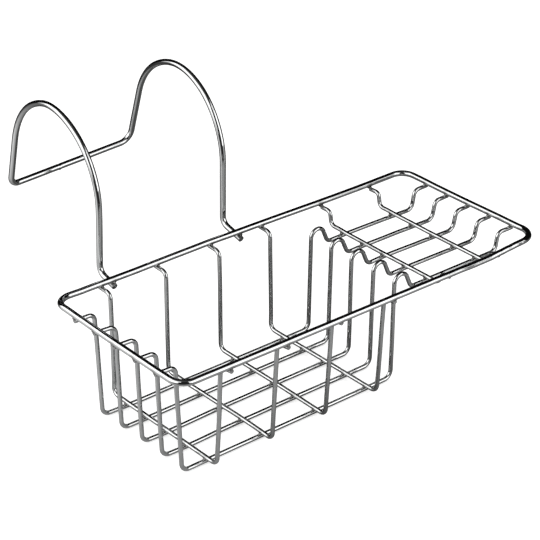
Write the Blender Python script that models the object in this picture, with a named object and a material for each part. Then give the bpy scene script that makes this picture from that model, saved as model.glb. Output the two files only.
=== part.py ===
"""Chrome wire bath caddy: a basket with a soap tray that hangs over the edge of a bath.

Metres, +Z up. X runs along the caddy, from the basket end to the soap-tray end, and +Y points at
the bath wall, over which the hook frame reaches. The origin is in the middle of the caddy's
footprint, on the surface that the basket's floor wires rest on.
"""

import math

import bpy
from mathutils import Vector

# Wire gauges. Sides are the flats round each drawn wire.
HEAVY_WIRE = 0.0053
THIN_WIRE = 0.0037
WELD_GAP = 0.0003
HEAVY_SIDES = 12
THIN_SIDES = 10

# Rim, between the centre lines of opposite rails.
RIM_LENGTH = 0.3750
RIM_WIDTH = 0.1612
RIM_CORNER_RADIUS = 0.0170

# Basket, between the centre lines of its wires. Depths are below the rim's centre line, insets
# are from the centre line of the rail on the same side, and a stub is what sticks out past it.
BASKET_DEPTH = 0.0993
LEFT_WALL_TOP_INSET = 0.0179
LEFT_WALL_BOTTOM_INSET = 0.0227
REAR_WALL_TOP_INSET = 0.0115
REAR_WALL_BOTTOM_INSET = 0.0134
FRONT_WALL_TOP_INSET = 0.0112
FRONT_WALL_BOTTOM_INSET = 0.0157
FLOOR_BEND = 0.0070
WALL_TOP_BEND = 0.0060
CROSS_WALL_TOP_BEND = 0.0055
CROSS_FLOOR_BEND = 0.0060
BASKET_CROSS_STUB = 0.0020

# Right wall of the basket, from the left rail's centre line, and the ridge at its top.
RIGHT_WALL_TOP = 0.2411
RIGHT_WALL_BOTTOM = 0.2407
RIDGE_DEPTH = 0.0051
RIDGE_BASKET_BEND = 0.0075
RIDGE_TRAY_BEND = 0.0071
RIDGE_FALL = math.radians(67)
RIDGE_FOOT_BEND = 0.0060

# Soap tray, which takes the rest of the rim's length.
TRAY_DEPTH = 0.0205
TRAY_END_BOTTOM_INSET = 0.0173
TRAY_END_TOP_INSET = 0.0139
TRAY_END_BOTTOM_BEND = 0.0065
TRAY_END_TOP_BEND = 0.0055
TRAY_WALL_TOP_INSET = 0.0124
TRAY_WALL_BOTTOM_INSET = 0.0150
TRAY_CROSS_TOP_BEND = 0.0045
TRAY_CROSS_FLOOR_BEND = 0.0055
TRAY_CROSS_STUB = 0.0008
LONG_WIRE_STUB = 0.0008

# How the wires are spread: evenly, with the outer ones at these distances from the rail, wall or
# ridge beside them.
LONG_WIRE_COUNT = 5
OUTER_LONG_WIRE_INSET = 0.0296
BASKET_CROSS_COUNT = 4
FIRST_BASKET_CROSS_INSET = 0.0462
LAST_BASKET_CROSS_FROM_WALL = 0.0288
TRAY_CROSS_COUNT = 2
FIRST_TRAY_CROSS_FROM_RIDGE = 0.0160
LAST_TRAY_CROSS_INSET = 0.0425

# Hook frame: one bent wire with an arch at each end of a crossbar. Heights and reaches are from
# the rear rail's centre line. The frame is welded on slightly askew, so each arch has sizes of
# its own. Both feet fall a little on their way in under the rear rail.
HOOK_STUB_INSIDE_RAIL = 0.0028
HOOK_FOOT_FALL = math.radians(13.5)
HOOK_FOOT_BEND = 0.0080
LEFT_HOOK = {
    "along": 0.0572,
    "leg_reach": 0.0170,
    "straight_height": 0.0555,
    "apex_reach": 0.0795,
    "apex_height": 0.1221,
    "rear_reach": 0.1334,
    "rear_height": 0.0731,
    "corner_reach": 0.1432,
    "corner_height": 0.0282,
    "corner_bend": 0.0080,
}
RIGHT_HOOK = {
    "along": 0.1871,
    "leg_reach": 0.0215,
    "straight_height": 0.0545,
    "apex_reach": 0.0826,
    "apex_height": 0.1230,
    "rear_reach": 0.1364,
    "rear_height": 0.0807,
    "corner_reach": 0.1515,
    "corner_height": 0.0299,
    "corner_bend": 0.0110,
}
# Handles of the arch's two curves, as shares of the rise or the reach that each spans.
LEG_HANDLE_SHARE = 0.532
APEX_FRONT_HANDLE_SHARE = 0.543
APEX_REAR_HANDLE_SHARE = 0.393
REAR_HANDLE_SHARE = 0.680

BEND_STEP = math.radians(18)
RIM_CORNER_STEP = math.radians(11.25)
ARCH_STEPS = 12

# Heights and places that follow from the sizes above, in the rim's own frame.
HEAVY_RADIUS = HEAVY_WIRE / 2
THIN_RADIUS = THIN_WIRE / 2
THIN_UNDER_RIM = HEAVY_RADIUS + WELD_GAP + THIN_RADIUS
HOOK_UNDER_RIM = (HEAVY_WIRE + WELD_GAP) / math.cos(HOOK_FOOT_FALL)
CROSS_OVER_LONG = THIN_WIRE + WELD_GAP
HALF_LENGTH = RIM_LENGTH / 2
HALF_WIDTH = RIM_WIDTH / 2
RIDGE_LENGTH = RIDGE_BASKET_BEND + RIDGE_TRAY_BEND * math.tan(RIDGE_FALL / 2)
RIDGE_END = RIGHT_WALL_TOP + RIDGE_LENGTH
RIDGE_FOOT = RIDGE_END + (TRAY_DEPTH - RIDGE_DEPTH) / math.tan(RIDGE_FALL)
OUTER_LONG_WIRE = HALF_WIDTH - OUTER_LONG_WIRE_INSET
LAST_BASKET_CROSS = RIGHT_WALL_BOTTOM - LAST_BASKET_CROSS_FROM_WALL
FIRST_TRAY_CROSS = RIDGE_FOOT + FIRST_TRAY_CROSS_FROM_RIDGE
LAST_TRAY_CROSS = RIM_LENGTH - LAST_TRAY_CROSS_INSET


def clear_scene():
    for item in list(bpy.data.objects):
        bpy.data.objects.remove(item, do_unlink=True)


def make_collection(name):
    collection = bpy.data.collections.new(name)
    bpy.context.scene.collection.children.link(collection)
    return collection


def chrome(name, shade, roughness):
    """Bright electroplated chrome on steel wire."""
    material = bpy.data.materials.new(name)
    material.use_nodes = True
    shader = material.node_tree.nodes["Principled BSDF"]
    shader.inputs["Base Color"].default_value = (shade, shade, shade, 1)
    shader.inputs["Metallic"].default_value = 1
    shader.inputs["Roughness"].default_value = roughness
    return material


def bend(before, corner, after, radius, step):
    """Points along the arc that rounds a corner between two straight runs."""
    into = (corner - before).normalized()
    out = (after - corner).normalized()
    turn = into.angle(out)
    if turn < step / 2:
        return [corner]
    tangent = radius * math.tan(turn / 2)
    axis = into.cross(out).normalized()
    inward = axis.cross(into)
    centre = corner - into * tangent + inward * radius
    count = max(2, math.ceil(turn / step))
    points = []
    for index in range(count + 1):
        angle = turn * index / count
        points.append(centre - inward * radius * math.cos(angle) + into * radius * math.sin(angle))
    return points


def rounded(corners, step):
    """Corners given as (point, bend radius); the first and last are the wire's ends."""
    points = [corners[0][0]]
    for index in range(1, len(corners) - 1):
        before, (corner, radius), after = corners[index - 1][0], corners[index], corners[index + 1][0]
        points += bend(before, corner, after, radius, step)
    points.append(corners[-1][0])
    return points


def bezier(start, start_handle, end_handle, end, steps):
    points = []
    for index in range(1, steps + 1):
        t = index / steps
        s = 1 - t
        points.append(
            start * s**3 + start_handle * 3 * s**2 * t + end_handle * 3 * s * t**2 + end * t**3
        )
    return points


def spread(first, last, count):
    return [first + (last - first) * index / (count - 1) for index in range(count)]


def rim_points():
    corners = [
        Vector((0, -HALF_WIDTH, 0)),
        Vector((RIM_LENGTH, -HALF_WIDTH, 0)),
        Vector((RIM_LENGTH, HALF_WIDTH, 0)),
        Vector((0, HALF_WIDTH, 0)),
    ]
    points = []
    for index, corner in enumerate(corners):
        after = corners[(index + 1) % len(corners)]
        points += bend(corners[index - 1], corner, after, RIM_CORNER_RADIUS, RIM_CORNER_STEP)
    return points


def long_wire_points(across):
    """Rim, down the left wall, basket floor, up the right wall, over the ridge, tray floor, rim."""

    def at(along, height):
        return Vector((along, across, height))

    corners = [
        (at(-LONG_WIRE_STUB, -THIN_UNDER_RIM), 0),
        (at(LEFT_WALL_TOP_INSET, -THIN_UNDER_RIM), WALL_TOP_BEND),
        (at(LEFT_WALL_BOTTOM_INSET, -BASKET_DEPTH), FLOOR_BEND),
        (at(RIGHT_WALL_BOTTOM, -BASKET_DEPTH), FLOOR_BEND),
        (at(RIGHT_WALL_TOP, -RIDGE_DEPTH), RIDGE_BASKET_BEND),
        (at(RIDGE_END, -RIDGE_DEPTH), RIDGE_TRAY_BEND),
        (at(RIDGE_FOOT, -TRAY_DEPTH), RIDGE_FOOT_BEND),
        (at(RIM_LENGTH - TRAY_END_BOTTOM_INSET, -TRAY_DEPTH), TRAY_END_BOTTOM_BEND),
        (at(RIM_LENGTH - TRAY_END_TOP_INSET, -THIN_UNDER_RIM), TRAY_END_TOP_BEND),
        (at(RIM_LENGTH + LONG_WIRE_STUB, -THIN_UNDER_RIM), 0),
    ]
    return rounded(corners, BEND_STEP)


def basket_cross_points(along):
    """Rear rail, down the rear wall, across on top of the long wires, up the front wall, rail."""

    def at(across, height):
        return Vector((along, across, height))

    floor = -BASKET_DEPTH + CROSS_OVER_LONG
    corners = [
        (at(HALF_WIDTH + BASKET_CROSS_STUB, -THIN_UNDER_RIM), 0),
        (at(HALF_WIDTH - REAR_WALL_TOP_INSET, -THIN_UNDER_RIM), CROSS_WALL_TOP_BEND),
        (at(HALF_WIDTH - REAR_WALL_BOTTOM_INSET, floor), CROSS_FLOOR_BEND),
        (at(FRONT_WALL_BOTTOM_INSET - HALF_WIDTH, floor), CROSS_FLOOR_BEND),
        (at(FRONT_WALL_TOP_INSET - HALF_WIDTH, -THIN_UNDER_RIM), CROSS_WALL_TOP_BEND),
        (at(-HALF_WIDTH - BASKET_CROSS_STUB, -THIN_UNDER_RIM), 0),
    ]
    return rounded(corners, BEND_STEP)


def tray_cross_points(along):
    """Rear rail, down to the tray, across on top of the long wires, up to the front rail."""

    def at(across, height):
        return Vector((along, across, height))

    floor = -TRAY_DEPTH + CROSS_OVER_LONG
    corners = [
        (at(HALF_WIDTH + TRAY_CROSS_STUB, -THIN_UNDER_RIM), 0),
        (at(HALF_WIDTH - TRAY_WALL_TOP_INSET, -THIN_UNDER_RIM), TRAY_CROSS_TOP_BEND),
        (at(HALF_WIDTH - TRAY_WALL_BOTTOM_INSET, floor), TRAY_CROSS_FLOOR_BEND),
        (at(TRAY_WALL_BOTTOM_INSET - HALF_WIDTH, floor), TRAY_CROSS_FLOOR_BEND),
        (at(TRAY_WALL_TOP_INSET - HALF_WIDTH, -THIN_UNDER_RIM), TRAY_CROSS_TOP_BEND),
        (at(-HALF_WIDTH - TRAY_CROSS_STUB, -THIN_UNDER_RIM), 0),
    ]
    return rounded(corners, BEND_STEP)


def arch_points(hook):
    """From the stub under the rear rail, up the leg and over the arch, to the crossbar's corner."""

    def at(reach, height):
        return Vector((hook["along"], HALF_WIDTH + reach, height))

    def foot_height(reach):
        return reach * math.tan(HOOK_FOOT_FALL) - HOOK_UNDER_RIM

    end = at(-HOOK_STUB_INSIDE_RAIL, foot_height(-HOOK_STUB_INSIDE_RAIL))
    foot = at(hook["leg_reach"], foot_height(hook["leg_reach"]))
    leg_top = at(hook["leg_reach"], hook["straight_height"])
    apex = at(hook["apex_reach"], hook["apex_height"])
    rear = at(hook["rear_reach"], hook["rear_height"])
    corner = at(hook["corner_reach"], hook["corner_height"])
    rise = hook["apex_height"] - hook["straight_height"]
    fall = hook["apex_height"] - hook["rear_height"]
    front_reach = hook["apex_reach"] - hook["leg_reach"]
    rear_reach = hook["rear_reach"] - hook["apex_reach"]
    up_rear_leg = (rear - corner).normalized()
    points = [end, *bend(end, foot, leg_top, HOOK_FOOT_BEND, BEND_STEP), leg_top]
    points += bezier(
        leg_top,
        leg_top + Vector((0, 0, LEG_HANDLE_SHARE * rise)),
        apex - Vector((0, APEX_FRONT_HANDLE_SHARE * front_reach, 0)),
        apex,
        ARCH_STEPS,
    )
    points += bezier(
        apex,
        apex + Vector((0, APEX_REAR_HANDLE_SHARE * rear_reach, 0)),
        rear + up_rear_leg * REAR_HANDLE_SHARE * fall,
        rear,
        ARCH_STEPS,
    )
    return points, corner


def hook_points():
    left, left_corner = arch_points(LEFT_HOOK)
    right, right_corner = arch_points(RIGHT_HOOK)
    points = list(left)
    points += bend(left[-1], left_corner, right_corner, LEFT_HOOK["corner_bend"], BEND_STEP)
    points += bend(left_corner, right_corner, right[-1], RIGHT_HOOK["corner_bend"], BEND_STEP)
    return points + right[::-1]


# The middle of the footprint, on the surface that the floor wires rest on.
ORIGIN = Vector((
    HALF_LENGTH,
    (max(point.y for point in hook_points()) - HALF_WIDTH) / 2,
    -(BASKET_DEPTH + THIN_RADIUS * math.cos(math.pi / THIN_SIDES)),
))


def wire(collection, name, points, diameter, sides, material, closed=False):
    """A drawn wire along the points, in the rim's frame, with flat-cut ends."""
    curve = bpy.data.curves.new(name, "CURVE")
    curve.dimensions = "3D"
    curve.bevel_depth = diameter / 2
    curve.bevel_resolution = sides // 2 - 2
    curve.use_fill_caps = not closed
    spline = curve.splines.new("POLY")
    spline.points.add(len(points) - 1)
    for place, point in zip(spline.points, points):
        place.co = (*(point - ORIGIN), 1)
    spline.use_cyclic_u = closed
    spline.use_smooth = True
    curve.materials.append(material)
    obj = bpy.data.objects.new(name, curve)
    collection.objects.link(obj)
    return obj


def build():
    clear_scene()
    caddy = make_collection("bath_caddy")
    heavy = chrome("chrome_heavy_wire", 0.80, 0.06)
    thin = chrome("chrome_thin_wire", 0.76, 0.09)
    wire(caddy, "rim_frame", rim_points(), HEAVY_WIRE, HEAVY_SIDES, heavy, closed=True)
    wire(caddy, "hook_frame", hook_points(), HEAVY_WIRE, HEAVY_SIDES, heavy)
    for index, across in enumerate(spread(OUTER_LONG_WIRE, -OUTER_LONG_WIRE, LONG_WIRE_COUNT)):
        name = f"long_wire_{index + 1}"
        wire(caddy, name, long_wire_points(across), THIN_WIRE, THIN_SIDES, thin)
    places = spread(FIRST_BASKET_CROSS_INSET, LAST_BASKET_CROSS, BASKET_CROSS_COUNT)
    for index, along in enumerate(places):
        name = f"basket_cross_wire_{index + 1}"
        wire(caddy, name, basket_cross_points(along), THIN_WIRE, THIN_SIDES, thin)
    for index, along in enumerate(spread(FIRST_TRAY_CROSS, LAST_TRAY_CROSS, TRAY_CROSS_COUNT)):
        name = f"tray_cross_wire_{index + 1}"
        wire(caddy, name, tray_cross_points(along), THIN_WIRE, THIN_SIDES, thin)


build()
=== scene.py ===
# Chrome wire bath caddy: every wire is redrawn round and smooth on the frame's own centre lines,
# with its welds, and set on a pale studio floor.
import math
import random

import bpy
from mathutils import Matrix, Vector, noise
from mathutils.kdtree import KDTree


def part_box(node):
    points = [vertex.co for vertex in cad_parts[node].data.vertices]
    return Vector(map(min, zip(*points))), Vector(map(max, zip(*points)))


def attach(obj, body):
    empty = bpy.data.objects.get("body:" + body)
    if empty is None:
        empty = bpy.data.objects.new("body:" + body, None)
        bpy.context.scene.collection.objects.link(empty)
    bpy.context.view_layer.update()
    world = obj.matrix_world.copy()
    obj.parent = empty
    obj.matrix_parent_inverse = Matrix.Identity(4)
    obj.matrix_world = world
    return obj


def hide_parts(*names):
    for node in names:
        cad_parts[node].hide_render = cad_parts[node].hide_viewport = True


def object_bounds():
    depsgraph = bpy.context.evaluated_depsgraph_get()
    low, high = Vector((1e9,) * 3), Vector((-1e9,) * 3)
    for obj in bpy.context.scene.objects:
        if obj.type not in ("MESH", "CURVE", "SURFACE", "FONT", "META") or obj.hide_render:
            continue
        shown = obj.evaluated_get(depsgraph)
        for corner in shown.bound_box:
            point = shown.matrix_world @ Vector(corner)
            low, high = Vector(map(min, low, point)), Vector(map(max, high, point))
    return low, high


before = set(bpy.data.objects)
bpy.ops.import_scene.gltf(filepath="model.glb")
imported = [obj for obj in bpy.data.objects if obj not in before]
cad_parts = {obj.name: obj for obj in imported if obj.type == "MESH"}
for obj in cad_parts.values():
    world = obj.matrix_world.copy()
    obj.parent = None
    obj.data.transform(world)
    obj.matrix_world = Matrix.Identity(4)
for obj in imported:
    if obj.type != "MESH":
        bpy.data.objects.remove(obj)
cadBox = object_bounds()
mm = 0.001

# The rim's own frame: its origin is on the left rail's centre line, halfway along it.
rimLow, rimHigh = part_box("rim_frame")
heavyRadius = 2.65 * mm
thinRadius = 1.85 * mm
rimPlace = Vector((
    rimLow[0] + heavyRadius,
    (rimLow[1] + rimHigh[1]) / 2,
    (rimLow[2] + rimHigh[2]) / 2,
))


# Wire paths, in millimetres from the rim's own origin.
# corner radii: front left, front right, rear right, rear left
rim = {"length": 375.0, "width": 161.2, "cornerRadii": [12.5, 17.5, 12.5, 15.5]}
halfWidth = rim["width"] / 2

basket = {
    "depth": 99.3,
    "leftWallTop": 17.9, "leftWallBottom": 22.7,
    "rightWallTop": 241.1, "rightWallBottom": 240.7,
    "rearWallTop": 69.1, "rearWallBottom": 67.2,
    "frontWallTop": 69.4, "frontWallBottom": 64.9,
    "floorBend": 7.0, "wallTopBend": 6.0,
    "crossTopBend": 5.5, "crossFloorBend": 6.0, "crossStub": 2.0,
    "crossPlaces": [46.2, 101.4, 156.7, 211.9],
    "bowTop": -80.0, "bowFade": 15.0,         # the floor's bow starts at this height and is full 15 lower
}

ridge = {"depth": 5.1, "basketBend": 7.5, "trayBend": 7.1, "fall": math.radians(67), "footBend": 6.0}

tray = {
    "depth": 20.5, "endBottom": 357.7, "endTop": 361.1,
    "endBottomBend": 6.5, "endTopBend": 5.5,
    "wallTop": 68.2, "wallBottom": 65.6,
    "crossTopBend": 4.5, "crossFloorBend": 5.5, "stub": 0.8, "crossStub": -2.4,
    "crossPlaces": [275.8, 332.5],
}

longWirePlaces = [51.0, 25.5, 0.0, -25.5, -51.0]
leftWallLean = [0.0, 0.3, 1.2, 1.1, 0.2]      # the long wires weren't all bent at quite the same place
floorBow = [-0.3, 0.5, 0.7, 0.0, -0.4]        # and each bows sideways a little along the basket's floor

# How far each wire sits from what it is welded to, centre to centre: less than the two radii,
# because a weld presses the wires into each other.
seat = {
    "thinUnderRim": 4.0, "hookUnderRim": 5.0, "crossOverLong": 3.6,
    "basketTopDip": 0.5, "topDip": 0.4,       # how much lower a wire's top bend is than its welded end
    "beadDrop": 0.4, "trayBeadInset": 1.6,    # a rim weld's bead sits lower, and further in at the tray
    "followReach": 4.0,                       # how near to a weld the wires are that it joins
}

# An arch's apex, rear and corner are each (how far behind the rear rail, how high).
hooks = {
    "stubInside": 2.8, "footFall": math.radians(13.5), "footBend": 8.0,
    "left": {
        "along": 57.2, "leg": 17.0, "straight": 55.5, "apex": (79.5, 122.1),
        "rear": (133.4, 73.1), "corner": (143.2, 28.2), "cornerBend": 8.0,
    },
    "right": {
        "along": 187.1, "leg": 21.5, "straight": 54.5, "apex": (82.6, 123.0),
        "rear": (136.4, 80.7), "corner": (151.5, 29.9), "cornerBend": 11.0,
    },
    "legShare": 0.532, "apexFrontShare": 0.543,  # how far the curve's handles reach, up to the apex
    "apexRearShare": 0.393, "rearShare": 0.680,  # and down from it
}

# Welding heat pulled the rim: its front rail hangs low along the middle and its rear rail waves.
spring = {
    "front": 1.1, "frontFrom": -20.0, "frontTo": 375.0,
    "rear": 0.25, "rearWave": 0.5, "rearCrest": 62.0, "rearLength": 252.0,
    "reach": 30.0, "fade": 60.0,
}

bendStep = math.radians(5)
ringSpacing = 1.6


def clamped(value):
    return min(1.0, max(0.0, value))


def eased(share):
    return share * share * (3 - 2 * share)


def bend(before, corner, after, radius):
    # points round the corner between two straight runs
    into = (corner - before).normalized()
    out = (after - corner).normalized()
    turn = into.angle(out)
    axis = into.cross(out).normalized()
    inward = axis.cross(into)
    centre = corner - into * radius * math.tan(turn / 2) + inward * radius
    count = max(3, math.ceil(turn / bendStep))
    points = []
    for index in range(count + 1):
        angle = turn * index / count
        points.append(centre - inward * radius * math.cos(angle) + into * radius * math.sin(angle))
    return points


def rounded(corners):
    # a path through the corners, each given with the radius it is bent to
    points = [corners[0][0]]
    for index in range(1, len(corners) - 1):
        corner, radius = corners[index]
        points += bend(corners[index - 1][0], corner, corners[index + 1][0], radius)
    points.append(corners[-1][0])
    return points


def evenlySpaced(points, closed):
    # long straight runs get rings close enough to carry the wavers, the bows and the weld halos
    result = []
    pairs = list(zip(points, points[1:] + points[:1])) if closed else list(zip(points, points[1:]))
    for start, end in pairs:
        count = max(1, round((end - start).length / ringSpacing))
        for index in range(count):
            result.append(start.lerp(end, index / count))
    if not closed:
        result.append(points[-1])
    return result


def bezier(start, startHandle, endHandle, end):
    steps = 40
    points = []
    for index in range(1, steps + 1):
        t = index / steps
        s = 1 - t
        points.append(start * s**3 + startHandle * 3 * s * s * t + endHandle * 3 * s * t * t + end * t**3)
    return points


def sprung(point):
    # the rim's sag and wave, which fade out along the wires that are welded under it
    nearRail = clamped((abs(point.y) - halfWidth + spring["reach"]) / spring["reach"])
    nearTop = clamped(1 + point.z / spring["fade"])
    if point.y < 0:
        share = (point.x - spring["frontFrom"]) / (spring["frontTo"] - spring["frontFrom"])
        drop = spring["front"] * math.sin(math.pi * share)
    else:
        turns = (point.x - spring["rearCrest"]) / spring["rearLength"]
        drop = spring["rear"] + spring["rearWave"] * math.cos(math.tau * turns)
    return point - Vector((0, 0, drop * eased(nearRail) * nearTop))


def bowed(point, bow):
    # a long wire curves sideways along the basket's floor
    nearFloor = clamped((basket["bowTop"] - point.z) / basket["bowFade"])
    floorLength = basket["rightWallBottom"] - basket["leftWallBottom"]
    share = clamped((point.x - basket["leftWallBottom"]) / floorLength)
    return point + Vector((0, bow * math.sin(math.pi * share) * nearFloor, 0))


def longWirePath(across, lean, bow):
    def at(along, height):
        return Vector((along, across, height))

    top = -seat["thinUnderRim"]
    overRidge = ridge["basketBend"] + ridge["trayBend"] * math.tan(ridge["fall"] / 2)
    ridgeEnd = basket["rightWallTop"] + overRidge
    ridgeFoot = ridgeEnd + (tray["depth"] - ridge["depth"]) / math.tan(ridge["fall"])
    points = rounded([
        (at(-tray["stub"], top), 0),
        (at(basket["leftWallTop"] + lean, top - seat["basketTopDip"]), basket["wallTopBend"]),
        (at(basket["leftWallBottom"] + lean, -basket["depth"]), basket["floorBend"]),
        (at(basket["rightWallBottom"], -basket["depth"]), basket["floorBend"]),
        (at(basket["rightWallTop"], -ridge["depth"]), ridge["basketBend"]),
        (at(ridgeEnd, -ridge["depth"]), ridge["trayBend"]),
        (at(ridgeFoot, -tray["depth"]), ridge["footBend"]),
        (at(tray["endBottom"], -tray["depth"]), tray["endBottomBend"]),
        (at(tray["endTop"], top - seat["topDip"]), tray["endTopBend"]),
        (at(rim["length"] + tray["stub"], top), 0),
    ])
    return [bowed(point, bow) for point in evenlySpaced(points, False)]


def crossPath(along, floor, rearTop, rearBottom, frontTop, frontBottom, topBend, floorBend, stub):
    def at(across, height):
        return Vector((along, across, height))

    top = -seat["thinUnderRim"]
    return rounded([
        (at(halfWidth + stub, top), 0),
        (at(rearTop, top - seat["topDip"]), topBend),
        (at(rearBottom, floor), floorBend),
        (at(-frontBottom, floor), floorBend),
        (at(-frontTop, top - seat["topDip"]), topBend),
        (at(-halfWidth - stub, top), 0),
    ])


def basketCrossPath(along):
    return crossPath(
        along, seat["crossOverLong"] - basket["depth"], basket["rearWallTop"], basket["rearWallBottom"],
        basket["frontWallTop"], basket["frontWallBottom"], basket["crossTopBend"],
        basket["crossFloorBend"], basket["crossStub"],
    )


def trayCrossPath(along):
    return crossPath(
        along, seat["crossOverLong"] - tray["depth"], tray["wallTop"], tray["wallBottom"],
        tray["wallTop"], tray["wallBottom"], tray["crossTopBend"],
        tray["crossFloorBend"], tray["crossStub"],
    )


def rimPath():
    corners = [
        Vector((0, -halfWidth, 0)), Vector((rim["length"], -halfWidth, 0)),
        Vector((rim["length"], halfWidth, 0)), Vector((0, halfWidth, 0)),
    ]
    points = []
    for index, corner in enumerate(corners):
        following = corners[(index + 1) % len(corners)]
        points += bend(corners[index - 1], corner, following, rim["cornerRadii"][index])
    return points


def archPath(hook):
    # from the foot under the rear rail up over the bath's edge, and where the crossbar's corner is
    def at(reach, height):
        return Vector((hook["along"], halfWidth + reach, height))

    def footHeight(reach):
        return reach * math.tan(hooks["footFall"]) - seat["hookUnderRim"] / math.cos(hooks["footFall"])

    end = at(-hooks["stubInside"], footHeight(-hooks["stubInside"]))
    foot = at(hook["leg"], footHeight(hook["leg"]))
    legTop = at(hook["leg"], hook["straight"])
    apex, rear, corner = at(*hook["apex"]), at(*hook["rear"]), at(*hook["corner"])
    rise = hook["apex"][1] - hook["straight"]
    fall = hook["apex"][1] - hook["rear"][1]
    frontReach = hook["apex"][0] - hook["leg"]
    rearReach = hook["rear"][0] - hook["apex"][0]
    upRear = (rear - corner).normalized()
    points = [end, *bend(end, foot, legTop, hooks["footBend"]), legTop]
    points += bezier(
        legTop, legTop + Vector((0, 0, hooks["legShare"] * rise)),
        apex - Vector((0, hooks["apexFrontShare"] * frontReach, 0)), apex,
    )
    points += bezier(
        apex, apex + Vector((0, hooks["apexRearShare"] * rearReach, 0)),
        rear + upRear * hooks["rearShare"] * fall, rear,
    )
    return points, corner


def hookPath():
    left, leftCorner = archPath(hooks["left"])
    right, rightCorner = archPath(hooks["right"])
    points = left + bend(left[-1], leftCorner, rightCorner, hooks["left"]["cornerBend"])
    points += bend(leftCorner, rightCorner, right[-1], hooks["right"]["cornerBend"])
    return points + right[::-1]


def inPart(point):
    return rimPlace + Vector(point) * mm


# Where the welds are, in millimetres from the rim's own origin.
welds = {"floor": [], "tray": [], "rim": [], "foot": []}
rimBeadHeight = -seat["thinUnderRim"] / 2 - seat["beadDrop"]
for across, bow in zip(longWirePlaces, floorBow):
    for along in basket["crossPlaces"]:
        place = Vector((along, across, seat["crossOverLong"] / 2 - basket["depth"]))
        welds["floor"].append(bowed(place, bow))
    for along in tray["crossPlaces"]:
        welds["tray"].append(Vector((along, across, seat["crossOverLong"] / 2 - tray["depth"])))
    for along in (0, rim["length"]):
        welds["rim"].append(Vector((along, across, rimBeadHeight)))
for along in basket["crossPlaces"] + tray["crossPlaces"]:
    inset = 0 if along in basket["crossPlaces"] else seat["trayBeadInset"]
    for across in (inset - halfWidth, halfWidth - inset):
        welds["rim"].append(sprung(Vector((along, across, rimBeadHeight))))
for hook in (hooks["left"], hooks["right"]):
    welds["foot"].append(Vector((hook["along"], halfWidth, -seat["hookUnderRim"] / 2)))


def linear(hexColour):
    # an sRGB hex value as the linear colour that a socket takes
    values = []
    for index in (1, 3, 5):
        value = int(hexColour[index:index + 2], 16) / 255
        values.append(value / 12.92 if value <= 0.04045 else ((value + 0.055) / 1.055) ** 2.4)
    return (*values, 1.0)


def node(tree, kind, inputs=(), links=(), **settings):
    # one node: its settings, its constant inputs and the links into it
    fresh = tree.nodes.new(kind)
    for key, value in settings.items():
        setattr(fresh, key, value)
    for key, value in dict(inputs).items():
        fresh.inputs[key].default_value = value
    for key, socket in dict(links).items():
        tree.links.new(socket, fresh.inputs[key])
    return fresh


def startMaterial(name):
    material = bpy.data.materials.new(name)
    material.use_nodes = True
    material.node_tree.nodes.clear()
    return material, material.node_tree


chromeLook = {
    "bright": "#EDEEEE",       # clean plate
    "dull": "#D3D5D5",         # thin plate over the drawing marks
    "weldTintAndShadeColour": "#6A6865",     # heat tint and trapped polish at a weld, and painted contact shade where the wires cross
    "roughness": 0.020,
    "hazeRoughness": 0.22,
    "streakWidth": 1.1,        # mm across the wire: real drawing marks are 0.05, too fine to show
    "streakStretch": 7.0,      # how many times longer than wide they are
    "rippleSize": 9.0,         # mm, slow waves left by straightening the wire
}


def chromePlate(name, dullShare, rippleDepth, streakDepth):
    # Electroplated chrome over drawn steel wire: a hard, neutral mirror. Drawing leaves faint marks
    # along the wire and straightening leaves slow ripples, which both break up the reflections.
    material, tree = startMaterial(name)
    place = node(tree, "ShaderNodeTexCoord").outputs["Object"]
    grain = node(tree, "ShaderNodeAttribute", attribute_name="drawnGrain").outputs["Vector"]
    tintAndShadeMask = node(tree, "ShaderNodeAttribute", attribute_name="weldTintAndPaintedShade").outputs["Fac"]
    streaks = node(
        tree, "ShaderNodeTexNoise",
        {"Scale": 1 / (chromeLook["streakWidth"] * mm), "Detail": 2.5, "Roughness": 0.6}, {"Vector": grain},
    )
    ripple = node(
        tree, "ShaderNodeTexNoise", {"Scale": 1 / (chromeLook["rippleSize"] * mm), "Detail": 1.5},
        {"Vector": place},
    )
    worn = node(
        tree, "ShaderNodeMapRange", {"From Min": 0.40, "From Max": 0.68, "To Max": dullShare},
        {"Value": streaks.outputs["Fac"]},
    )
    plate = node(
        tree, "ShaderNodeMix", {6: linear(chromeLook["bright"]), 7: linear(chromeLook["dull"])},
        {0: worn.outputs["Result"]}, data_type="RGBA",
    )
    # painted shade: the weld mask darkens the plate round each weld, partly heat tint and partly painted
    # contact shade where the wires cross
    tintedAndShaded = node(
        tree, "ShaderNodeMix", {7: linear(chromeLook["weldTintAndShadeColour"])}, {0: tintAndShadeMask, 6: plate.outputs[2]},
        data_type="RGBA",
    )
    rough = node(
        tree, "ShaderNodeMapRange",
        {"To Min": chromeLook["roughness"], "To Max": chromeLook["hazeRoughness"]}, {"Value": tintAndShadeMask},
    )
    slow = node(
        tree, "ShaderNodeBump", {"Distance": rippleDepth * mm}, {"Height": ripple.outputs["Fac"]},
    )
    fine = node(
        tree, "ShaderNodeBump", {"Distance": streakDepth * mm},
        {"Height": streaks.outputs["Fac"], "Normal": slow.outputs["Normal"]},
    )
    shader = node(
        tree, "ShaderNodeBsdfPrincipled", {"Metallic": 1.0},
        {"Base Color": tintedAndShaded.outputs[2], "Roughness": rough.outputs["Result"],
         "Normal": fine.outputs["Normal"]},
    )
    node(tree, "ShaderNodeOutputMaterial", links={"Surface": shader.outputs["BSDF"]})
    return material


heavyChrome = chromePlate(
    "bright_chrome_on_heavy_wire", dullShare=0.35, rippleDepth=0.006, streakDepth=0.0006,
)
thinChrome = chromePlate(
    "bright_chrome_on_thin_wire", dullShare=0.6, rippleDepth=0.008, streakDepth=0.0009,
)

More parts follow.
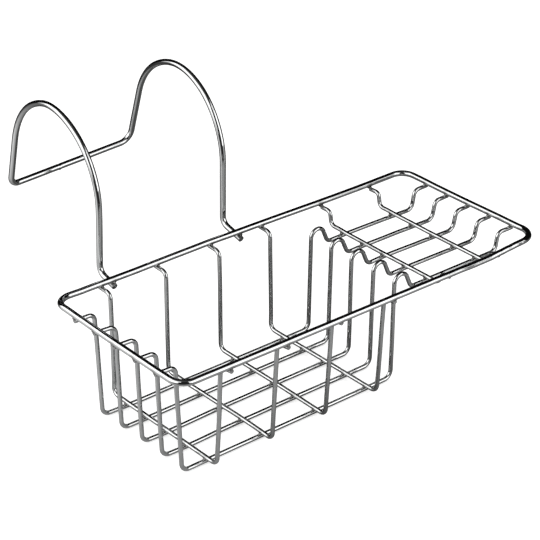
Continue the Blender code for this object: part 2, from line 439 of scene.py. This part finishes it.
heavyWires = ("rim_frame", "hook_frame")
wireLook = {
    "heavySides": 32, "thinSides": 24,
    "waver": 0.10, "waverSize": 38.0,  # mm sideways, and mm between one waver and the next
    "waverHeld": 12.0,                 # mm from a weld at which the waver is full
    "endBevel": 0.45, "mergeGap": 0.005,
    "smoothAngle": math.radians(40),
}
noise.seed_set(11)  # without this noise_vector differs from run to run


def everyWeld():
    return [place for group in welds.values() for place in group]


drawnWelds = everyWeld()  # as drawn, before they follow the wires


def wavering(points, seed):
    # hand-straightened wire is never quite straight; its welds hold it in place
    shift = Vector((seed * 7.3, seed * 3.1, seed * 5.7))  # another waver for each wire
    result = []
    for point in points:
        held = min(1.0, min((point - weld).length for weld in drawnWelds) / wireLook["waverHeld"])
        sway = noise.noise_vector(point / wireLook["waverSize"] + shift) * wireLook["waver"]
        result.append(point + sway * held)
    return result


def drawnWire(name, points, radius, sides, material, closed):
    bpy.ops.object.select_all(action="DESELECT")
    bpy.ops.curve.primitive_nurbs_path_add(location=(0, 0, 0))
    piece = bpy.context.object
    piece.name = name
    curve = piece.data
    curve.splines.clear()
    spline = curve.splines.new("POLY")
    spline.points.add(len(points) - 1)
    for knot, point in zip(spline.points, points):
        knot.co = (*inPart(point), 1)
    spline.use_cyclic_u = closed
    curve.dimensions = "3D"
    curve.bevel_depth = radius
    curve.bevel_resolution = sides // 2 - 2
    curve.use_fill_caps = not closed
    bpy.ops.object.convert(target="MESH")
    bpy.context.tool_settings.mesh_select_mode = (False, False, True)
    bpy.ops.object.mode_set(mode="EDIT")
    bpy.ops.mesh.select_all(action="SELECT")
    bpy.ops.mesh.remove_doubles(threshold=wireLook["mergeGap"] * mm)
    bpy.ops.mesh.normals_make_consistent(inside=False)
    bpy.ops.mesh.select_all(action="DESELECT")
    bpy.ops.object.mode_set(mode="OBJECT")
    if not closed:  # the shears leave a small rounded edge round each cut end
        for face in piece.data.polygons:
            face.select = len(face.vertices) > 4  # only the two end caps have more than four corners
        bpy.ops.object.mode_set(mode="EDIT")
        bpy.ops.mesh.bevel(offset=wireLook["endBevel"] * mm, segments=3, affect="EDGES")
        bpy.ops.mesh.select_all(action="DESELECT")
        bpy.ops.object.mode_set(mode="OBJECT")
    bpy.ops.object.shade_smooth_by_angle(angle=wireLook["smoothAngle"])
    piece.data.materials.clear()
    piece.data.materials.append(material)
    return piece


weldTintAndShadeLook = {
    "heavyReach": 5.5, "thinReach": 4.2,  # mm from the weld's middle to the rim of the darkened patch
    "steepness": 1.6, "strength": 0.75, "mottling": 0.5, "mottlesPerMetre": 900,
}


def addWeldTintAndShade(piece, reach):
    # how near each point of the wire is to a weld, 1 at the weld and 0 from reach outwards; the plate is
    # darkened by it, partly heat tint and partly painted contact shade
    tintAndShadeLevel = []
    for vertex in piece.data.vertices:
        gap = weldTree.find(vertex.co)[2] / (reach * mm)
        near = clamped((1.0 - gap) * weldTintAndShadeLook["steepness"])
        mottle = weldTintAndShadeLook["mottling"] * noise.noise(vertex.co * weldTintAndShadeLook["mottlesPerMetre"])
        tintAndShadeLevel.append(near * (weldTintAndShadeLook["strength"] + mottle))
    attribute = piece.data.attributes.new("weldTintAndPaintedShade", "FLOAT", "POINT")
    attribute.data.foreach_set("value", tintAndShadeLevel)


def addGrain(piece, path, closed):
    # a place for the drawing marks that runs slowly along the wire and quickly round it
    stations = [inPart(point) for point in (path + path[:1] if closed else path)]
    runs, directions = [0.0], []
    for index, station in enumerate(stations):
        before, after = stations[max(index - 1, 0)], stations[min(index + 1, len(stations) - 1)]
        directions.append((after - before).normalized())
        if index:
            runs.append(runs[-1] + (station - before).length)
    tree = KDTree(len(stations))
    for index, station in enumerate(stations):
        tree.insert(station, index)
    tree.balance()
    values = []
    for vertex in piece.data.vertices:
        station, index, gap = tree.find(vertex.co)
        direction, offset = directions[index], vertex.co - station
        along = offset.dot(direction)
        values += tuple(offset + direction * ((runs[index] + along) / chromeLook["streakStretch"] - along))
    attribute = piece.data.attributes.new("drawnGrain", "FLOAT_VECTOR", "POINT")
    attribute.data.foreach_set("vector", values)


# The wires were bent and welded by hand. The rim's height above the drawing, in millimetres, at
# places round it from the front left corner: (distance along the wire, up).
rimHeights = [
    (0, 0), (50, 0), (136, 0.1), (165, 0.12), (213, -0.1), (242, -0.35), (261, -0.55), (290, -0.95),
    (309, -1.5), (326, -1.6), (338, -0.9), (347, -0.3), (359, 0.3), (368, 0.6), (385, 0.4), (398, 0),
    (415, 0), (471, -0.4), (491, -0.3), (519, 0.1), (588, -0.05), (674, -0.1), (724, 0), (752, 0.45),
    (810, 0.4), (828, 0.25), (866, 0.25), (880, 0), (895, 0.15), (915, 0.9), (934, 0.45),
    (972, -0.15), (1030, -0.25), (1045, 0),
]

# How far each wire strays from the drawing: (distance along the wire, to the right, to the back, up).
strays = {
    "rim_frame": [(run, 0, 0, up) for run, up in rimHeights],
    "hook_frame": [
        (0, -0.1, 0, 0), (20, 0, 0, 0), (74, 0.6, -0.5, 0), (172, 0.1, 0, 0.1), (198, 0.1, -0.3, -0.4),
        (250, 0.4, -0.4, -0.1), (301, 0.3, -0.2, 0.1), (346, 0, 0, 0), (506, 0.1, -0.1, -0.1),
        (525, -0.2, -0.1, -0.3), (584, 0, 0, 0), (728, -0.2, 0, -0.1),
    ],
    "long_wire_1": [
        (0, -0.1, -0.1, -0.5), (24, -0.1, 0, -0.3), (43, 0.1, -0.1, 0), (107, 0, 0, 0),
        (133, 0, -0.5, -0.1), (200, 0, 0, 0), (313, 0, 0, 0), (332, -0.2, 0.2, 0), (402, -0.1, 0, 0),
        (433, -0.4, 0, -0.4), (466, 0, 0, 0), (500, 0, -0.1, -0.2), (538, 0, -0.4, -0.5),
        (561, 0, 0.2, 0.3), (568, 0, 0.2, 0.3),
    ],
    "long_wire_2": [
        (0, 0, 0, 0), (30, 0.9, -0.7, 0), (50, 0.3, -0.2, 0), (107, -0.1, 0.1, 0), (133, 0, -0.2, -0.1),
        (200, 0, 0, 0), (332, -0.2, 0.2, 0), (408, -0.1, 0.1, 0), (430, -0.8, 0.1, -0.6), (459, 0, 0, 0),
        (490, 0, 0, -0.1), (535, 0, -0.3, -0.4), (556, 0.1, -0.1, 0), (568, 0, 0, 0),
    ],
    "long_wire_3": [
        (0, 0, 0, 0), (28, 0.4, -0.3, 0), (60, 0.1, 0, 0), (108, 0, 0, 0), (133, 0, -0.8, -0.1),
        (191, 0, -0.1, 0), (338, 0, 0, 0), (408, -0.4, 0.4, 0), (432, -1.0, 0.4, -0.6), (462, 0, 0.3, 0.3),
        (500, 0, 0, 0), (530, 0, -0.2, -0.3), (549, 0.1, -0.1, 0), (568, 0, 0, 0),
    ],
    "long_wire_4": [
        (0, 0, 0, 0), (30, 0.3, -0.2, 0), (60, 0, 0, 0), (108, 0, 0, 0), (133, 0, -0.6, -0.1),
        (180, 0, 0.2, 0.1), (250, 0, 0.1, 0.1), (300, 0, -0.1, -0.1), (332, 0.3, -0.2, 0),
        (408, 0.1, -0.1, 0), (432, -0.6, 0.2, -0.4), (466, 0, 0.2, 0.2), (517, 0, -0.1, -0.1),
        (568, 0, 0, 0),
    ],
    "long_wire_5": [
        (0, 0, 0, 0), (37, -0.1, 0.1, 0), (107, 0.2, -0.1, 0), (191, 0, 0.2, 0.1), (306, 0, -0.3, -0.1),
        (344, 0.1, -0.1, 0), (408, -0.3, 0.2, 0), (430, -0.6, 0.2, -0.4), (470, 0, 0, 0), (530, 0, 0, 0),
        (549, -0.6, 0.5, 0.1), (568, 0, 0, 0),
    ],
    "basket_cross_wire_1": [
        (0, 0.1, 0, 0), (81, 0.2, -0.1, 0), (113, -0.4, 0, -0.1), (215, -0.2, 0, -0.1), (272, 0.2, -0.2, 0),
        (308, 0, 0, -0.1), (319, 0, 0, -1.3), (332, 0, 0, 0),
    ],
    "basket_cross_wire_2": [
        (0, 0.1, 0, 0.1), (94, -0.2, 0.1, 0), (120, -0.3, 0, -0.1), (164, 0.1, 0, 0.1), (195, 0.5, 0, 0.2),
        (247, -0.1, 0, 0), (308, 0, 0, -0.1), (319, 0, 0, -1.3), (332, 0, 0, 0),
    ],
    "basket_cross_wire_3": [
        (0, -0.1, 0.1, 0), (50, 0, 0, 0), (95, -0.1, 0.1, 0), (125, 0.1, 0, 0), (177, 0.4, 0, 0.1),
        (234, -0.1, 0, 0), (300, 0.2, 0, 0), (308, 0.2, 0, -0.1), (319, 0.1, 0, -1.3), (332, 0.1, 1.9, 0.4),
    ],
    "basket_cross_wire_4": [
        (0, -0.5, 0.3, -0.2), (20, -0.5, 0.3, -0.2), (88, 0, 0, 0), (113, -0.6, 0, -0.1), (158, 0, 0, 0),
        (216, -0.1, 0, 0), (252, 0.4, -0.2, 0), (308, 0, 0, -0.1), (319, 0, 0, -1.4), (332, 0, 0.6, 0.1),
    ],
    "tray_cross_wire_1": [
        (0, 0.8, -0.3, 0.2), (14, 1.0, -0.4, 0.5), (26, 0.9, -0.1, 0.6), (46, 0.4, 0, 0.4),
        (80, 0.2, 0, 0.2), (150, 0.2, 0, 0.3), (162, 0.1, -1.4, -1.7), (174, 0, 0, -1.0),
    ],
    "tray_cross_wire_2": [
        (0, 0.8, -0.3, 0.2), (14, 1.0, -0.4, 0.6), (26, 0.9, -0.1, 0.6), (50, 0.4, 0, 0.4),
        (90, 0.1, 0, 0.2), (150, 0.1, 0, 0.2), (162, 0, -1.4, -1.6), (174, 0, 0, -0.9),
    ],
}


def strayed(points, places):
    # moves the points by the strays, which blend smoothly from each place to the next
    result, run, part = [], 0.0, 0
    for index, point in enumerate(points):
        run += (point - points[index - 1]).length if index else 0.0
        while part < len(places) - 2 and run > places[part + 1][0]:
            part += 1
        start, end = places[part], places[part + 1]
        share = clamped((run - start[0]) / (end[0] - start[0]))
        result.append(point + Vector(start[1:]).lerp(Vector(end[1:]), eased(share)))
    return result


wires = [("rim_frame", rimPath(), True), ("hook_frame", hookPath(), False)]
for index, across in enumerate(longWirePlaces):
    path = longWirePath(across, leftWallLean[index], floorBow[index])
    wires.append((f"long_wire_{index + 1}", path, False))
for index, along in enumerate(basket["crossPlaces"]):
    wires.append((f"basket_cross_wire_{index + 1}", basketCrossPath(along), False))
for index, along in enumerate(tray["crossPlaces"]):
    wires.append((f"tray_cross_wire_{index + 1}", trayCrossPath(along), False))

made = {}
moves = []
for seed, (nodeName, path, closed) in enumerate(wires):
    heavy = nodeName in heavyWires
    points = evenlySpaced(path, closed)
    if nodeName.startswith(("rim", "basket_cross", "tray_cross")):
        points = [sprung(point) for point in points]
    drawing = wavering(points, seed)
    points = strayed(drawing, strays[nodeName])
    moves.append((drawing, points))
    piece = drawnWire(
        nodeName.replace("_", "-") + "-drawn", points, heavyRadius if heavy else thinRadius,
        wireLook["heavySides"] if heavy else wireLook["thinSides"],
        heavyChrome if heavy else thinChrome,
        closed,
    )
    addGrain(piece, points, closed)
    made[nodeName] = piece
print("wires drawn:", len(made))


def followed(place):
    # a weld goes where the wires it joins have gone
    shifts = []
    for drawing, points in moves:
        nearest = min(range(len(drawing)), key=lambda index: (drawing[index] - place).length_squared)
        if (drawing[nearest] - place).length < seat["followReach"]:
            shifts.append(points[nearest] - drawing[nearest])
    return place + sum(shifts, Vector((0, 0, 0))) / max(1, len(shifts))


for group in welds.values():
    group[:] = [followed(place) for place in group]
weldTree = KDTree(len(drawnWelds))
for index, place in enumerate(everyWeld()):
    weldTree.insert(inPart(place), index)
weldTree.balance()

# The crossbar's butt weld: a collar of flash, ground nearly flush, with a burr left underneath.
buttWeld = {
    "along": 108.5, "reach": 0.9,  # its place along the caddy, and half the collar's width
    "grasp": 4.0,                  # more than the wire's radius, so that the whole collar is taken
    "swell": 1.045, "burr": 0.35, "burrBelow": -1.6,
}


def growButtWeld(piece):
    left, right = (
        Vector((hook["along"], halfWidth + hook["corner"][0], hook["corner"][1]))
        for hook in (hooks["left"], hooks["right"])
    )
    share = (buttWeld["along"] - left.x) / (right.x - left.x)
    centre = inPart(left.lerp(right, share))
    direction = (right - left).normalized()

    def pick(top):
        # selects the collar's points that are lower than top
        for vertex in piece.data.vertices:
            offset = vertex.co - centre
            inWire = offset.length < buttWeld["grasp"] * mm
            inCollar = inWire and abs(offset.dot(direction)) < buttWeld["reach"] * mm
            vertex.select = inCollar and offset.z < top * mm

    pick(buttWeld["grasp"])
    bpy.ops.object.select_all(action="DESELECT")
    bpy.context.view_layer.objects.active = piece
    piece.select_set(True)
    bpy.context.tool_settings.mesh_select_mode = (True, False, False)
    bpy.ops.object.mode_set(mode="EDIT")
    bpy.ops.transform.resize(value=(1, buttWeld["swell"], buttWeld["swell"]), center_override=centre)
    bpy.ops.object.mode_set(mode="OBJECT")
    pick(buttWeld["burrBelow"])
    bpy.ops.object.mode_set(mode="EDIT")
    bpy.ops.transform.translate(value=(0, 0, -buttWeld["burr"] * mm))
    bpy.ops.mesh.select_all(action="DESELECT")
    bpy.ops.object.mode_set(mode="OBJECT")


growButtWeld(made["hook_frame"])
for nodeName, piece in made.items():
    addWeldTintAndShade(piece, weldTintAndShadeLook["heavyReach"] if nodeName in heavyWires else weldTintAndShadeLook["thinReach"])
    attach(piece, "root")
    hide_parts(nodeName)
print("butt weld and halos done")

# Half sizes in millimetres, and the name of each group.
beadLook = {
    "floor": {"size": (2.1, 2.1, 1.15), "name": "basket-floor-welds"},
    "tray": {"size": (2.1, 2.1, 1.15), "name": "tray-floor-welds"},
    "rim": {"size": (2.2, 2.2, 1.1), "name": "rim-welds"},
    "foot": {"size": (2.9, 2.9, 1.5), "name": "hook-foot-welds"},
}
beadMetal = {
    "segments": 24, "rings": 14, "grow": (0.9, 1.08), "lump": 0.16, "lumpsPerMetre": 900, "tintAndShadeLevel": 0.85,
}
draw = random.Random(11)


def weldBead(size):
    # a squashed drop of metal, lumpy, that fills the corners where two wires cross
    bpy.ops.object.select_all(action="DESELECT")
    bpy.ops.mesh.primitive_uv_sphere_add(
        segments=beadMetal["segments"], ring_count=beadMetal["rings"], radius=mm, location=(0, 0, 0),
    )
    bead = bpy.context.object
    bpy.ops.object.mode_set(mode="EDIT")
    bpy.ops.mesh.select_all(action="SELECT")
    bpy.ops.transform.resize(value=size, center_override=(0, 0, 0))
    bpy.ops.object.mode_set(mode="OBJECT")
    return bead


def placeBeads(kind):
    look = beadLook[kind]
    first = weldBead(look["size"])
    beads = []
    for place in welds[kind]:
        bead = first.copy()
        bead.data = first.data.copy()
        bpy.context.collection.objects.link(bead)
        turn = Matrix.Rotation(draw.uniform(0, math.tau), 4, "Z")
        grow = draw.uniform(*beadMetal["grow"])
        seed = Vector((draw.uniform(0, 50), draw.uniform(0, 50), draw.uniform(0, 50)))
        for vertex in bead.data.vertices:
            lump = 1 + beadMetal["lump"] * noise.noise(vertex.co * beadMetal["lumpsPerMetre"] + seed)
            vertex.co = inPart(place) + turn @ (vertex.co * grow * lump)
        beads.append(bead)
    bpy.data.objects.remove(first, do_unlink=True)
    bpy.ops.object.select_all(action="DESELECT")
    for bead in beads:
        bead.select_set(True)
    bpy.context.view_layer.objects.active = beads[0]
    bpy.ops.object.join()
    group = bpy.context.object
    group.name = look["name"]
    bpy.ops.object.shade_smooth()
    group.data.materials.clear()
    group.data.materials.append(thinChrome)
    # painted shade: every bead is darkened all over by the weld mask, partly heat tint and partly painted
    # contact shade in the corners where wires cross
    tintAndShadeLevel = group.data.attributes.new("weldTintAndPaintedShade", "FLOAT", "POINT")
    tintAndShadeLevel.data.foreach_set("value", [beadMetal["tintAndShadeLevel"]] * len(group.data.vertices))
    grain = group.data.attributes.new("drawnGrain", "FLOAT_VECTOR", "POINT")
    grain.data.foreach_set("vector", [number for vertex in group.data.vertices for number in vertex.co])
    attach(group, "root")


for kind in welds:
    placeBeads(kind)
print("weld beads placed:", len(drawnWelds))

studio = {
    "floorSize": 12.0,         # metres
    "floorBelow": 0.30,        # mm under the object
    "floorColour": "#F7F7F6",
    "floorLift": 0.56,         # added where the floor is seen, so that it reads white
    "worldFill": 0.70,         # how strongly the white world lights, seen at 1
    "lampRadiance": 0.60,
    "target": Vector((-0.02, -0.03, 0.10)),
    "tentRadius": 2.4,         # metres from the target to the cards
}


def seenRays(tree):
    # 1 where the background is seen, straight or in a reflection, and 0 where it only lights
    ray = node(tree, "ShaderNodeLightPath")
    direct = node(
        tree, "ShaderNodeMath", operation="MAXIMUM",
        links={0: ray.outputs["Is Camera Ray"], 1: ray.outputs["Is Glossy Ray"]},
    )
    return node(
        tree, "ShaderNodeMath", operation="MAXIMUM",
        links={0: direct.outputs[0], 1: ray.outputs["Is Transmission Ray"]},
    ).outputs[0]


def floorMaterial():
    # Matt white table paper, lifted to white where it is seen, with the object's shadow kept.
    material, tree = startMaterial("matt_white_table_paper")
    strength = node(
        tree, "ShaderNodeMapRange", {"To Max": studio["floorLift"]}, {"Value": seenRays(tree)},
    )
    paper = node(tree, "ShaderNodeBsdfDiffuse", {"Color": linear(studio["floorColour"])})
    lift = node(
        tree, "ShaderNodeEmission", {"Color": (1, 1, 1, 1)}, {"Strength": strength.outputs["Result"]},
    )
    both = node(tree, "ShaderNodeAddShader", links={0: paper.outputs[0], 1: lift.outputs[0]})
    node(tree, "ShaderNodeOutputMaterial", links={"Surface": both.outputs[0]})
    return material


bpy.ops.object.select_all(action="DESELECT")
floorHeight = cadBox[0][2] - studio["floorBelow"] * mm
bpy.ops.mesh.primitive_plane_add(size=studio["floorSize"], location=(0, 0, floorHeight))
floor = bpy.context.object
floor.name = "studio-floor"
floor.data.materials.append(floorMaterial())


def onlyReflected(card):
    # photographer's cards stand outside the picture: nothing but a reflection sees them
    card.visible_camera = False
    card.visible_diffuse = False
    card.visible_shadow = False
    card.visible_transmission = False


# Curved cards round the object, by the directions they cover in degrees. Azimuth 0 is behind,
# 90 to the right and 180 in front. Each glow blends from the card's lower to its upper edge, and
# nearer is how many metres a card hangs in front of the others.
cards = {
    "grey-overhead": {"azimuth": (-128, -27), "elevation": (57, 90), "glow": (0.10, 0.08)},
    "grey-over-camera": {"azimuth": (-180, -128), "elevation": (54, 90), "glow": (0.05, 0.06)},
    "black-overhead": {"azimuth": (-27, 118), "elevation": (57, 90), "glow": (0.004, 0.03)},
    "black-over-right": {"azimuth": (118, 180), "elevation": (50, 90), "glow": (0.02, 0.03)},
    "black-behind": {"azimuth": (-29, 127), "elevation": (-4, 57), "glow": (0.004, 0.004)},
    "grey-at-right": {"azimuth": (127, 137), "elevation": (-4, 24), "glow": (0.10, 0.30)},
    "black-by-camera": {"azimuth": (-171, -117), "elevation": (-4, 34), "glow": (0.005, 0.015)},
    "black-above-camera": {"azimuth": (-171, -127), "elevation": (34, 54), "glow": (0.015, 0.02)},
    "foot-by-camera": {"azimuth": (-172, -112), "elevation": (-4, 9), "glow": (0.012, 0.03), "nearer": 0.1},
}


def cardRadius(card):
    return studio["tentRadius"] - card.get("nearer", 0)


def cardMaterial(name, card):
    material, tree = startMaterial(name)
    place = node(tree, "ShaderNodeTexCoord").outputs["Object"]
    apart = node(tree, "ShaderNodeSeparateXYZ", links={0: place})
    bottom, top = (cardRadius(card) * math.sin(math.radians(angle)) for angle in card["elevation"])
    lowGlow, highGlow = card["glow"]
    height = node(
        tree, "ShaderNodeMapRange",
        {"From Min": bottom, "From Max": top, "To Min": lowGlow, "To Max": highGlow},
        {"Value": apart.outputs["Z"]},
    )
    shade = node(
        tree, "ShaderNodeEmission", {"Color": (1, 1, 1, 1)}, {"Strength": height.outputs["Result"]},
    )
    node(tree, "ShaderNodeOutputMaterial", links={"Surface": shade.outputs[0]})
    return material


def curvedCard(name, card):
    # a sphere round the object with faces of 2 degrees, cut down to the card
    bpy.ops.object.select_all(action="DESELECT")
    bpy.ops.mesh.primitive_uv_sphere_add(
        segments=180, ring_count=90, radius=cardRadius(card), location=studio["target"],
    )
    piece = bpy.context.object
    piece.name = name
    (azimuthFrom, azimuthTo), (low, high) = card["azimuth"], card["elevation"]
    for face in piece.data.polygons:
        direction = face.center.normalized()
        azimuth = math.degrees(math.atan2(direction.x, direction.y))
        elevation = math.degrees(math.asin(direction.z))
        face.select = not (azimuthFrom <= azimuth <= azimuthTo and low <= elevation <= high)
    bpy.context.tool_settings.mesh_select_mode = (False, False, True)
    bpy.ops.object.mode_set(mode="EDIT")
    bpy.ops.mesh.delete(type="FACE")
    bpy.ops.object.mode_set(mode="OBJECT")
    piece.data.materials.append(cardMaterial(name.replace("-", "_"), card))
    onlyReflected(piece)


for name, card in cards.items():
    curvedCard(name, card)

# A table card lies on the paper round the object and glows, seen only in reflections: chrome shows it as
# the tone of the table, with a painted shadow of the caddy darkest right under it. Each ring gives azimuth
# in degrees and glow; the card blends from under the object outwards, at distances in metres.
tableCardLook = {
    "below": 0.25,  # mm under the object, just over the paper
    "middle": (-0.02, -0.04),
    # painted shadow: the glow right under the caddy
    "under": 0.07,
    "nearFrom": 0.085, "nearTo": 0.205,
    "near": [
        (-180, 0.30), (-160, 0.31), (-140, 0.30), (-122, 0.30), (-112, 0.37), (-100, 0.46), (-88, 0.48),
        (-60, 0.42), (-45, 0.32), (-30, 0.24), (-15, 0.14), (0, 0.08), (50, 0.10), (95, 0.15), (118, 0.12),
        (135, 0.20), (150, 0.26), (180, 0.30),
    ],
    "farFrom": 0.26, "farTo": 0.42,
    "far": [
        (-180, 0.05), (-165, 0.02), (-120, 0.02), (-112, 0.04), (-104, 0.10), (-98, 0.20), (-90, 0.40),
        (-82, 0.55), (-73, 0.68), (-62, 0.80), (-54, 0.72), (-46, 0.45), (-36, 0.20), (-28, 0.05),
        (-20, 0.02), (90, 0.02), (110, 0.09), (126, 0.14), (134, 0.24), (141, 0.40), (148, 0.55),
        (155, 0.60), (162, 0.46), (170, 0.20), (180, 0.08),
    ],
}


def tableRing(tree, turn, distance, part):
    # the tones of one ring by azimuth, and how far the card has blended into them at a distance
    ramp = node(tree, "ShaderNodeValToRGB", links={0: turn})
    stops = ramp.color_ramp.elements
    for index, (azimuth, glow) in enumerate(tableCardLook[part]):
        share = (azimuth + 180) / 360
        stop = stops[index] if index < 2 else stops.new(share)  # a new ramp has two stops
        stop.position = share
        stop.color = (glow, glow, glow, 1)
    blend = node(
        tree, "ShaderNodeMapRange",
        {"From Min": tableCardLook[part + "From"], "From Max": tableCardLook[part + "To"]},
        {"Value": distance}, interpolation_type="SMOOTHSTEP",
    )
    return blend.outputs["Result"], ramp.outputs["Color"]


def tableCardMaterial():
    material, tree = startMaterial("table_card_with_painted_shadow")
    place = node(tree, "ShaderNodeTexCoord").outputs["Object"]
    middleX, middleY = tableCardLook["middle"]
    offset = node(
        tree, "ShaderNodeVectorMath", {1: (-middleX, -middleY, 0)}, {0: place}, operation="ADD",
    ).outputs[0]
    apart = node(tree, "ShaderNodeSeparateXYZ", links={0: offset})
    angle = node(
        tree, "ShaderNodeMath", links={0: apart.outputs["X"], 1: apart.outputs["Y"]}, operation="ARCTAN2",
    )
    turn = node(
        tree, "ShaderNodeMapRange", {"From Min": -math.pi, "From Max": math.pi},
        {"Value": angle.outputs[0]},
    ).outputs["Result"]
    distance = node(tree, "ShaderNodeVectorMath", links={0: offset}, operation="LENGTH").outputs["Value"]
    nearBlend, nearTone = tableRing(tree, turn, distance, "near")
    farBlend, farTone = tableRing(tree, turn, distance, "far")
    # painted shadow: the near ring blends inwards into the dark glow under the caddy
    near = node(
        tree, "ShaderNodeMix", {2: tableCardLook["under"]}, {0: nearBlend, 3: nearTone}, data_type="FLOAT",
    )
    level = node(
        tree, "ShaderNodeMix", links={0: farBlend, 2: near.outputs[0], 3: farTone}, data_type="FLOAT",
    )
    glow = node(tree, "ShaderNodeEmission", {"Color": (1, 1, 1, 1)}, {"Strength": level.outputs[0]})
    node(tree, "ShaderNodeOutputMaterial", links={"Surface": glow.outputs[0]})
    return material


bpy.ops.object.select_all(action="DESELECT")
tableCardHeight = cadBox[0][2] - tableCardLook["below"] * mm
bpy.ops.mesh.primitive_plane_add(size=studio["floorSize"], location=(0, 0, tableCardHeight))
tableCard = bpy.context.object
tableCard.name = "table-card-with-painted-shadow"
tableCard.data.materials.append(tableCardMaterial())
onlyReflected(tableCard)


def aim(azimuth, elevation, distance):
    # a lamp's place, and its turn towards the target
    azimuth, elevation = math.radians(azimuth), math.radians(elevation)
    direction = Vector((
        math.sin(azimuth) * math.cos(elevation), math.cos(azimuth) * math.cos(elevation),
        math.sin(elevation),
    ))
    return studio["target"] + direction * distance, direction.to_track_quat("Z", "Y").to_euler()


lamps = {
    "right-front": {"azimuth": 152, "elevation": 18, "distance": 2.7, "size": (2.5, 1.9)},
    "left": {"azimuth": -70, "elevation": 26, "distance": 1.7, "size": (2.4, 1.3)},
}
for name, lamp in lamps.items():
    place, turn = aim(lamp["azimuth"], lamp["elevation"], lamp["distance"])
    light = bpy.data.lights.new("softbox-" + name, "AREA")
    light.shape = "RECTANGLE"
    light.size, light.size_y = lamp["size"]
    light.energy = studio["lampRadiance"] * math.pi * light.size * light.size_y
    box = bpy.data.objects.new("softbox-" + name, light)
    box.location = place
    box.rotation_euler = turn
    bpy.context.scene.collection.objects.link(box)

world = bpy.data.worlds.new("white-studio")
bpy.context.scene.world = world
world.use_nodes = True
sky = world.node_tree
sky.nodes.clear()
level = node(
    sky, "ShaderNodeMapRange", {"To Min": studio["worldFill"], "To Max": 1.0}, {"Value": seenRays(sky)},
)
glow = node(sky, "ShaderNodeBackground", {"Color": (1, 1, 1, 1)}, {"Strength": level.outputs["Result"]})
node(sky, "ShaderNodeOutputWorld", links={"Surface": glow.outputs[0]})

# The camera stands where the photograph was taken from.
view = {
    "eye": (-721.50, -1021.48, 737.78),  # mm from the rim's own origin
    "right": (0.76391, -0.64522, 0.0116),
    "down": (-0.29962, -0.37054, -0.87916),
    "forward": (0.57155, 0.66812, -0.47638),
    "focal": 1933.14, "imageSize": 540,  # in pixels of the photograph
    "sensor": 36.0, "clip": (0.05, 50),
}
right, down, forward = (Vector(view[key]) for key in ("right", "down", "forward"))
cameraData = bpy.data.cameras.new("studio-camera")
cameraData.sensor_width = view["sensor"]
cameraData.lens = view["focal"] / view["imageSize"] * view["sensor"]
cameraData.clip_start, cameraData.clip_end = view["clip"]
camera = bpy.data.objects.new("studio-camera", cameraData)
bpy.context.scene.collection.objects.link(camera)
axes = Matrix((right, -down, -forward)).transposed().to_4x4()
camera.matrix_world = Matrix.Translation(inPart(view["eye"])) @ axes
bpy.context.scene.camera = camera
bpy.context.scene.view_settings.view_transform = "Standard"
print("studio and camera set")
